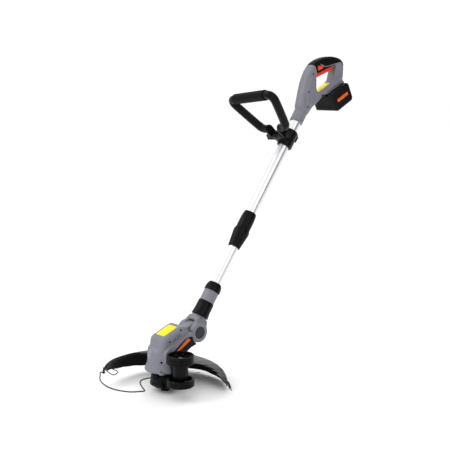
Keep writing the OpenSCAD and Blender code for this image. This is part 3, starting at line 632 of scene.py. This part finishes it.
def build_battery():
    side = [(0, -0.4), (0, -48), (4, -52), (68, -52), (73, -46), (73, -7), (68, -0.4)]
    pack = add_object("pack", plate_mesh(soften(side, 1.6), -37, 37, 1.8), DOCK)
    for x0, x1 in ((13.6, 20.4), (-20.4, -13.6)):
        cut(pack, add_object("slot", block((x0, -5, -4.2), (x1, 90, 3)), DOCK))
        cut(pack, add_object("slot", block((x0, -5, -7.4), (x1, 90, -3.5)), DOCK))
    cut(pack, add_object("latch_well", rounded_block((-11.5, 63.5, -18), (11.5, 80, 3), 0.5), DOCK))
    for k in range(5):
        x = -20 + 10 * k
        vent = rounded_block((x - 1.2, -3, -42), (x + 1.2, 1.2, -33), 0.5)
        cut(pack, add_object("vent", vent, DOCK))
    for x0, x1 in ((-40, -36.2), (36.2, 40)):
        cut(pack, add_object("cheek", plate_mesh(soften(CHEEK, 4), x0, x1, 0), DOCK))
    lower = twin(pack, "battery_lower_form")
    pack.name = "battery_upper_form"
    above = block((-60, -20, CASE_SPLIT + CASE_GAP), (60, 100, 20))
    below = block((-60, -20, -80), (60, 100, CASE_SPLIT - CASE_GAP))
    cut(pack, add_object("slice", above, DOCK), how="INTERSECT")
    cut(lower, add_object("slice", below, DOCK), how="INTERSECT")
    finish_piece(pack, BLACK, "battery", "black_plastic", "battery_upper_case")
    finish_piece(lower, BLACK, "battery", "black_plastic", "battery_lower_case")
    place = DOCK @ shift(36.4, 37, -27) @ ACROSS @ turn(90, "Z")
    patch("battery_label", RED_LABEL, "battery", "orange_plastic", place, 46, 9, 0.25, 2.5)


# ---- motor housing ---------------------------------------------------------------------------

# Outlines are (y, z) in the world's frame. BARREL is (radius, z), and RIDGE is a path.
HEAD_TOP = [(-27, 100), (44, 100), (60, 118), (58, 140), (48, 148.5), (40, 153.5), (33, 154.5),
            (-20, 134.5), (-25, 128), (-29, 104)]
HEAD_ARM = [(-27, 74), (35, 74), (39, 90), (46, 98.5), (72, 105.5), (66, 113), (60, 120), (57, 138.5),
            (45, 133.5), (-18, 109.5), (-25, 102)]
HEAD_TAIL = [(0, 92), (40, 92), (48, 97), (74, 106.5), (86, 105.5), (98, 108.7), (106.8, 117.5),
             (110, 129.5), (106.8, 141.5), (98, 150.3), (86, 153.5), (74, 150.4), (58, 145.5), (30, 140)]
PANEL = [(4, 93), (34, 93.5), (54, 104), (65, 106.4), (58, 118), (55, 128), (36, 126.5), (-2, 101)]
HEAD_SLOPE = shift(0, 6, 144.2) @ turn(20.7, "X")
HEAD_LUG = turn(-47, "Z") @ shift(49.5, 0, 0)
BARREL = [(0.01, 52.6), (48.4, 52.6), (48.4, 57), (43.0, 69), (39.5, 88), (35.5, 100), (27, 112),
          (0.01, 118)]
RIDGE = [(35.2, -14, 109.5), (35.2, 15, 121.2), (34.6, 46, 133.2)]
HEAD_SCREWS = [(25.5, 28, 146), (30.5, -8, 125), (31.5, 64.8, 107.3)]
FORK_RADIUS = 26
TAIL_HALF = 13.6
VENTS = 4


def moulded_head():
    """The solid form of the motor housing, before anything is cut out of it."""
    parts = [
        add_object("top", plate_mesh(soften(HEAD_TOP, 6), -29, 29, 11)),
        add_object("arm", plate_mesh(soften(HEAD_ARM, 5), -36, 36, 3.0)),
        add_object("tail", plate_mesh(soften(HEAD_TAIL, 6), -13.4, 13.4, 2.5)),
        add_object("drum", lathe_mesh(rounded(BARREL, 2.0), 96)),
        add_object("lug", rod(7.5, 52.6, 57.6, 1.2), HEAD_LUG),
    ]
    for side in (1, -1):
        path = smooth_path([(x * side, y, z) for x, y, z in RIDGE], 6)
        ridge = sweep_mesh(path, lambda i, share: circle(1.7, 12), Vector((1, 0, 0)))
        parts.append(add_object("ridge", ridge))
    return fuse("motor_housing", parts, 1.1, 4)


def build_motor_housing():
    body = moulded_head()
    cut(body, add_object("open_foot", rod(38, 45, 66)))
    cut(body, add_object("label_seat", block((-15.8, -21.8, 0), (15.8, 21.8, 6)), HEAD_SLOPE))
    pin = PIVOT @ ACROSS
    cut(body, add_object("pin_bore", rod(5.2, -60, 60), pin))
    cut(body, add_object("fork_space", rod(FORK_RADIUS, TAIL_HALF, 80), pin))
    cut(body, add_object("fork_space", rod(FORK_RADIUS, -80, -TAIL_HALF), pin))
    cut(body, add_object("eyelet", rod(4.3, 40, 70), HEAD_LUG))
    for x0, x1 in ((34.6, 60), (-60, -34.6)):
        cut(body, add_object("panel_seat", plate_mesh(outset(soften(PANEL, 2), 0.3), x0, x1, 0)))
    heads = []
    for x, y, z in HEAD_SCREWS:
        cut(body, add_object("recess", rod(WELL_RADIUS, -1, 25), shift(x, y, z) @ ACROSS))
        heads.append(add_object("head", screw_head(), shift(x - 0.9, y, z) @ ACROSS))
    foot_screw = turn(-49.8, "Z") @ shift(39.6, 0, 79) @ ACROSS
    cut(body, add_object("recess", rod(3, 0, 12), foot_screw))
    heads.append(add_object("head", screw_head(), foot_screw @ shift(0, 0, 0.1)))
    for k in range(VENTS):
        share = k / (VENTS - 1)
        spot = shift(24.8, 3.5 + 18.7 * share, 124.5 + 11.2 * share) @ turn(-14, "X")
        for side in (1, -1):
            place = Matrix.Diagonal((side, 1, 1, 1)) @ spot
            vent = rounded_block((0, -1.4, -4.6), (20, 1.4, 4.6), 0.9)
            # A thin near-black sheet at the bottom of each vent slot is painted shade, so the slot reads
            # dark; it is joined with the screw heads.
            back = rounded_block((-0.6, -1.5, -4.8), (0.6, 1.5, 4.8), 0.3)
            cut(body, add_object("vent", vent, place))
            heads.append(add_object("gap", back, place))
    left, right = halve(body, "motor_housing_left_form", "motor_housing_right_form")
    finish_piece(left, GREY, "head", "grey_plastic", "motor_housing_left")
    finish_piece(right, GREY, "head", "grey_plastic", "motor_housing_right")
    # The joined piece holds the black screw heads and the vents' painted-shade sheets.
    finish_piece(join("housing_screw_heads_and_vent_shade", heads), BLACK_SCREW_AND_PAINTED_SHADE, "head", "black_steel", "housing_screws")


def build_head_trim():
    """The black side panels, their stripes, and the label on the slope."""
    panels = [add_object("panel", plate_mesh(soften(PANEL, 2.5), x0, x0 + 3.2, 0.9))
              for x0 in (34.9, -38.1)]
    finish_piece(join("side_panel_forms", panels), BLACK, "head", "black_plastic", "side_panels")
    bar = [(5, 101.6), (17, 102.6), (49, 121), (39, 127.2)]
    for name, x0 in (("panel_label_right", 37.9), ("panel_label_left", -38.35)):
        stripe = add_object(name, plate_mesh(soften(bar, 1.5), x0, x0 + 0.45, 0.1, steps=2))
        finish_piece(stripe, RED_LABEL, "head", "orange_plastic")
    patch("head_label", YELLOW, "head", "white_plastic", HEAD_SLOPE, 31, 43, 0.5, 3.5)


LEANING = Matrix(((1, 0, -0.27, 0), (0, 1, 0, 0), (0, 0, 1, 0), (0, 0, 0, 1)))


def build_neck():
    parts = []
    for side in (1, -1):
        face = turn(90 * side, "Y")
        parts.append(add_object("knuckle", rod(24.2, 14.1, 29, 2.2), SHAFT @ face))
        cheek = plate_mesh(soften([(-23, 2), (23, 2), (17.5, 36), (-17.5, 36)], 5), 16.1, 28, 4.5)
        place = SHAFT @ Matrix.Diagonal((side, 1, 1, 1)) @ LEANING
        parts.append(add_object("cheek", cheek, place))
    parts.append(add_object("yoke", rod(18.2, 24, 38.8, 1), SHAFT))
    parts.append(add_object("bridge", rounded_block((-19, -17, 22), (19, 17, 36), 3), SHAFT))
    body = fuse("neck", parts, 0.9, 4)
    cut(body, add_object("fork_slot", rod(25.6, -13.9, 13.9), SHAFT @ ACROSS))
    cut(body, add_object("spigot", rod(13, 36, 100, 0.6), SHAFT), how="UNION")
    cut(body, add_object("lead_bore", rod(6, 20, 110), SHAFT))
    cut(body, add_object("pin_bore", rod(5, -60, 60), SHAFT @ ACROSS))
    cut(body, add_object("button_well", rod(15, 21, 60), SHAFT @ ACROSS))
    screw = SHAFT @ shift(0, -9, 33.5) @ ACROSS
    cut(body, add_object("recess", rod(2.5, 15.0, 40), screw))
    left, right = halve(body, "neck_left_form", "neck_right_form")
    finish_piece(left, GREY, "neck", "grey_plastic", "neck_left")
    finish_piece(right, GREY, "neck", "grey_plastic", "neck_right")
    head = add_object("neck_screw_head", screw_head(), screw @ shift(0, 0, 15.1))
    finish_piece(head, BLACK_SCREW_AND_PAINTED_SHADE, "neck", "black_steel", "neck_screws")
    dome = [(0.01, 26.2), (14.3, 26.2), (14.3, 29.6), (13.4, 30.5), (8, 30.4), (0.01, 30.1)]
    button = add_object("tilt_button_form", lathe_mesh(dome, 64), SHAFT @ ACROSS)
    finish_piece(button, BLUE_GREY, "pivot_button", "blue_grey_plastic", "tilt_button")


# ---- shaft fittings --------------------------------------------------------------------------

# Profiles are (radius, station along the shaft).
TWIST_RING = [(14.45, 233), (14.9, 233), (15.6, 234), (16.2, 239), (19.7, 268), (20.3, 270.5),
              (20.5, 273), (20.5, 281), (19.8, 283), (16.2, 283), (16.2, 263), (14.5, 263)]
COLLAR_BODY = [(16, 263.4), (16, 283.4), (17.4, 283.4), (18.2, 285), (18.3, 312), (17.6, 322),
               (16.6, 329), (15.6, 332.4), (14.8, 333), (14.05, 333), (14.05, 263.4)]
LOCKING_CAP = [(12.55, 107), (19.6, 107), (20.3, 107.8), (20.3, 115), (19.6, 120), (18.2, 125),
               (16.4, 128.6), (15, 130), (12.55, 130)]
RELEASE_SLEEVE = [(14.1, 39.4), (21.6, 39.4), (22, 40.4), (21.4, 45), (20.5, 52), (20.2, 58),
                  (20.2, 76.6), (19.4, 78), (18.85, 78), (18.85, 42.4), (14.1, 42.4)]
FLUTED_FROM = 15.5


def fluted(count, depth, low, high):
    """Shallow grip flutes on the outside between two heights."""
    def ripple(a, r, z):
        inside = low < z < high and r > FLUTED_FROM
        return r - depth * max(0.0, math.cos(count * a)) ** 6 if inside else r
    return ripple


def fitting(node_name, profile, body, count, depth, low, high):
    """A turned black fitting on the shaft, fluted between two heights."""
    form = lathe_mesh(profile, 144, fluted(count, depth, low, high))
    made = add_object(node_name + "_form", form, SHAFT)
    finish_piece(made, BLACK, body, "black_plastic", node_name, crease=30)


def build_shaft_fittings():
    fitting("twist_ring", TWIST_RING, "collar", 16, 0.9, 236, 280)
    fitting("collar_body", COLLAR_BODY, "handle", 14, 0.6, 286, 320)
    fitting("locking_cap", LOCKING_CAP, "lower_shaft", 18, 0.5, 108, 124)
    fitting("release_sleeve", RELEASE_SLEEVE, "sleeve", 24, 0.35, 46, 75)


# ---- springs ---------------------------------------------------------------------------------


COIL_SIDES = 16


def build_spring(node_name, radius, wire, turns, height, place, body):
    """A compression spring on the local z axis."""
    steps = turns * COIL_SIDES
    path = []
    for i in range(steps + 1):
        a = math.tau * i / COIL_SIDES
        rise = wire + (height - 2 * wire) * i / steps
        path.append(Vector((radius * math.cos(a), radius * math.sin(a), rise)))
    coil = sweep_mesh(path, lambda i, share: circle(wire, 8), Vector((0, 0, 1)))
    made = settle(add_object(node_name + "_coil", coil, place))
    finish_piece(made, STEEL, body, "steel", node_name)
    along, far_end = place.to_3x3().col[2], place @ Vector((0, 0, height * MM))
    tuple(along)
    tuple(far_end)
    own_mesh(made)


def build_springs():
    build_spring("trigger_spring", 3, 0.5, 4, 7.5, HANDLE @ shift(0, 84, 134.8) @ turn(18, "X"),
                 "handle")
    build_spring("sleeve_spring", 16.2, 0.7, 2, 7.4, SHAFT @ shift(0, 0, 42.6),
                 "lower_shaft")
    build_spring("bump_spring", 7, 0.7, 4, 16.1, shift(0, 0, 22.9), "spool")


# ---- spool and wheels ------------------------------------------------------------------------


def build_spool():
    shell = [(32, 22), (34.2, 22), (34.4, 24), (34.4, 34), (33.6, 36.4), (30.6, 43.6), (29, 45), (7, 45),
             (7, 51), (3.05, 51), (3.05, 39.2), (31.6, 39.2)]

    def ribs(a, r, z):
        return r - 0.7 * max(0.0, math.cos(30 * a)) ** 4 if r > 33 and 22.5 < z < 37 else r

    housing = add_object("spool_housing_form", lathe_mesh(shell, 240, ribs))
    finish_piece(housing, BLACK, "spool", "black_plastic", "spool_housing")


def wheel_profile(height):
    """A wheel with a hub, a web, and two grooves round its tread."""
    tread = [(30.5, 0), (32, 1.5)]
    for low in (height * 0.28, height * 0.62):
        tread += [(32, low), (31, low + 0.5), (31, low + 1.6), (32, low + 2.1)]
    tread += [(32, height - 1.5), (30.5, height)]
    return [(4.1, 0), (10, 0), (10, 8), (27, 8), (27, 0.6), (27.6, 0)] + tread + [
        (27.6, height), (27, height - 0.6), (27, 10.5), (12, 10.5), (11.5, 11.5), (4.1, 11.5)]


UPPER_WHEEL = WHEELS @ shift(0, 0, 85.4)
LOWER_WHEEL = WHEELS @ shift(0, 0, 49.1) @ Matrix.Diagonal((1, 1, -1, 1))
SPOKES = 6


def tread_notches(a, r, z):
    return r - 1.1 if r > 31.5 and (a * 18 / math.pi) % 1.0 < 0.16 else r


def build_wheels():
    tall = lathe_mesh(wheel_profile(20.6), 216, tread_notches)
    upper = add_object("upper_wheel_form", tall, UPPER_WHEEL)
    for k in range(SPOKES):
        spoke = rounded_block((10.5, -1.6, 10), (27.8, 1.6, 17.2), 0.7)
        place = UPPER_WHEEL @ turn(360 / SPOKES * k, "Z")
        cut(upper, add_object("spoke", spoke, place), how="UNION")
    finish_piece(upper, BLACK, "edge_wheels", "black_plastic", "upper_wheel", crease=30)
    flat = lathe_mesh(wheel_profile(17.1), 216, tread_notches)
    lower = add_object("lower_wheel_form", flat, LOWER_WHEEL)
    finish_piece(lower, BLACK, "edge_wheels", "black_plastic", "lower_wheel", crease=30)


# ---- guard -----------------------------------------------------------------------------------

# Heights of the rim and of the skirt's foot, and the roof's inner radius, by angle in degrees.
RIM_Z = [(42, 25), (54, 30), (60, 33), (70, 38), (80, 41), (93, 44), (104, 46), (112, 48), (150, 58),
         (184, 58), (210, 59), (218, 58), (222, 54)]
SKIRT_Z = [(42, 13), (50, 9), (76, 5), (88, 6), (100, 9), (116, 8), (140, 11), (162, 17), (175, 21),
           (190, 25), (210, 33), (222, 42)]
ROOF_IN = [(42, 138), (54, 124), (70, 104), (92, 60), (98, 50), (142, 50), (150, 70), (162, 112),
           (178, 136), (222, 139)]
GUARD_START = 42
GUARD_SPAN = 180
GUARD_STEPS = 120
GUARD_RADIUS = 149.8
GUARD_WALL = 2.6
FLANGE_TOP = 56
FLANGE_RADII = (50, 139)


def ease(stops, a):
    """Reads a table of (angle, value) with smooth steps between its rows."""
    for (a0, v0), (a1, v1) in zip(stops, stops[1:]):
        if a <= a1:
            t = max(0.0, (a - a0) / (a1 - a0))
            s = t * t * (3 - 2 * t)
            return v0 * (1 - s) + v1 * s
    return stops[-1][1]


def guard_section(top, foot, inner):
    """The outline (radius, z) of the guard's skirt, brow and roof, outside first."""
    r, w = GUARD_RADIUS, GUARD_WALL
    narrow, wide = FLANGE_RADII
    peak = top + (FLANGE_TOP - top) * max(0, (wide - inner) / (wide - narrow))
    brow = top - 0.8
    mid, mid_z = (r - 8 + inner) / 2, (top + peak) / 2
    return [(r - w, foot), (r - w / 2, foot - 0.4), (r, foot), (r, foot + 2), (r, top - 12),
            (r - 0.7, top - 8), (r - 2.4, top - 5), (r - 4.8, top - 2.4), (r - 8, brow),
            (mid, mid_z), (inner + 1, peak), (inner, peak - 0.7), (inner, peak - w),
            (mid, mid_z - w), (r - 8.6, brow - w), (r - w - 1.8, top - 6.4), (r - w, top - 12.4)]


def build_guard():
    bm = bmesh.new()
    rings = []
    for k in range(GUARD_STEPS + 1):
        a = GUARD_START + GUARD_SPAN * k / GUARD_STEPS
        c, s = math.cos(math.radians(a)), math.sin(math.radians(a))
        section = guard_section(ease(RIM_Z, a), ease(SKIRT_Z, a), ease(ROOF_IN, a))
        rings.append([bm.verts.new((r * c, r * s, z)) for r, z in section])
    loop_faces(bm, rings)
    bm.faces.new(rings[0])
    bm.faces.new(rings[-1])
    guard = add_object("guard_form", bm)
    finish_piece(guard, BLACK, "head", "black_plastic", "guard", crease=50)


# ---- front handle ----------------------------------------------------------------------------

# LEG is one side of the loop as (x, z) in its own frame, from the bolt to the bar.
LOOP_RADIUS = 11
BOLT_BORE = 4.1
LEG = [(22, 24), (31, 24), (42, 26), (50, 32), (57, 46), (70, 79), (81.5, 111), (82.5, 122),
       (78, 129.5), (71, 132), (64.5, 132)]


def build_front_handle():
    path = smooth_path([(x, 0, z) for x, z in LEG], 12)

    def section(i, share):
        ribbed = 0.36 < share < 0.72
        groove = 0.35 if ribbed and i % 3 == 0 else 0.0
        band = 0.25 if 0.30 < share < 0.35 else 0
        return circle(LOOP_RADIUS - groove + band, 32, 0.02)

    parts = []
    for side in (1, -1):
        place = FRONT @ Matrix.Diagonal((side, 1, 1, 1))
        leg = add_object("leg", sweep_mesh(path, section), place)
        lug = add_object("lug", rod(LOOP_RADIUS, 20, 28, 1.2), FRONT @ turn(90 * side, "Y"))
        web = add_object("web", rounded_block((20, -11, 0), (28, 11, 26), 1.0), place)
        parts += [leg, lug, web]
    loop = parts[0]
    for part in parts[1:]:
        cut(loop, part, how="UNION")
    cut(loop, add_object("bolt_hole", rod(BOLT_BORE, -60, 60), FRONT @ ACROSS))
    loop.name = "front_handle_loop"
    finish_piece(loop, BLACK, "front_handle", "black_plastic", "front_handle_frame", crease=25)
    bar = smooth_path([(-64, 0, 132), (0, 0, 132), (64, 0, 132)], 20)
    last = len(bar) - 1
    tube = sweep_mesh(bar, lambda i, share: circle(13.75 if 0 < i < last else 12.8, 64, 0.035))
    sleeve = add_object("front_handle_sleeve", tube, FRONT)
    finish_piece(sleeve, RUBBER, "front_handle", "black_rubber", "front_handle_grip", crease=40)


def build_knob():
    def lobes(a, r, z):
        return r + 2.2 * max(0.0, math.cos(6 * a)) ** 1.5 if r > 9 else r

    profile = [(4.05, 0), (9.3, 0), (10, 0.8), (10, 13.6), (9.4, 15), (6, 15), (5.2, 14), (0.01, 14),
               (0.01, 11.6), (4.05, 11.6)]
    place = BOLT @ Matrix.Diagonal((1, 1, -1, 1)) @ shift(0, 0, 28.4)
    knob = add_object("clamp_knob_form", lathe_mesh(profile, 144, lobes), place)
    finish_piece(knob, BLACK, "knob", "black_plastic", "clamp_knob")


def build_clamp():
    parts = [
        add_object("band", rod(19.3, -24, 24, 2.0), CLAMP),
        add_object("bridge", rounded_block((-19.4, -35, -16), (19.4, -5, 6), 2.0), CLAMP),
        add_object("barrel", rod(12, -19.4, 19.4, 1.2), BOLT),
        add_object("back", rounded_block((-12, 8, -24), (12, 18, 24), 2.0), CLAMP),
        add_object("nub", rounded_block((-8, 14, 4), (8, 25, 22), 2.5), CLAMP),
    ]
    body = fuse("handle_clamp_form", parts, 0.9, 5)
    cut(body, add_object("bore", rod(14.1, -30, 30), CLAMP))
    cut(body, add_object("slit", block((-1.5, -42, -30), (1.5, -4, 30)), CLAMP))
    cut(body, add_object("bolt_hole", rod(BOLT_BORE, -60, 60), BOLT))
    finish_piece(body, BLACK, "clamp", "black_plastic", "handle_clamp")


# ---- carried-over nodes ----------------------------------------------------------------------


BOX_SLACK = 0.0005
EDGE_ROUNDING = 0.6


def grows(made, name):
    """True if a modifier pushes a node out of its own box."""
    bpy.context.view_layer.update()
    shown = made.evaluated_get(bpy.context.evaluated_depsgraph_get())
    corners = [Vector(c) for c in shown.bound_box]
    low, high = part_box(name)
    return any(c[k] < low[k] - BOX_SLACK or c[k] > high[k] + BOX_SLACK
               for c in corners for k in range(3))


def dress_node(name, look, edge):
    """Re-materials a CAD node whose shape is right, and rounds its edges."""
    made = frame["nodes"][name]
    if edge:
        weld = made.modifiers.new("weld", "WELD")
        weld.merge_threshold = 0.00001
        plain = made.modifiers.new("plain", "DECIMATE")
        plain.decimate_type = "DISSOLVE"
        plain.angle_limit = math.radians(0.6)
        bevel = made.modifiers.new("edge", "BEVEL")
        bevel.limit_method = "ANGLE"
        bevel.angle_limit = math.radians(32)
        bevel.width = edge * MM
        bevel.segments = 3
        bevel.harden_normals = True
        if grows(made, name):
            made.modifiers.clear()
    made.data.materials.clear()
    made.data.materials.append(look)
    for face in made.data.polygons:
        face.use_smooth = True
        face.material_index = 0


build_rear_handle()
build_grip()
build_trigger()
build_battery()
build_motor_housing()
build_head_trim()
build_neck()
build_shaft_fittings()
build_springs()
build_spool()
build_wheels()
build_guard()
build_front_handle()
build_knob()
build_clamp()
patch("handle_label", YELLOW, "handle", "white_plastic", BRIDGE, 22.6, 47, 0.4, 2.5)

LEFT_SHARP = {"cutting_line", "line_winding", "line_cutter", "shaft_lead", "wire_guard", "wire_clips",
              "upper_tube", "lower_tube"}
slot_of = {row["node"]: row["material_slot"] for row in frame["record"]["subparts"]}
for name, made in frame["nodes"].items():
    if not made.hide_render:
        dress_node(name, SLOT_LOOKS[slot_of[name]], 0 if name in LEFT_SHARP else EDGE_ROUNDING)

FLOOR_HALF = 30000
FLOOR_DROP = -0.3
floor_mesh = bmesh.new()
bmesh.ops.create_grid(floor_mesh, x_segments=2, y_segments=2, size=FLOOR_HALF)
floor = add_object("floor", floor_mesh, shift(0, 0, FLOOR_DROP))
floor.data.materials.append(FLOOR)
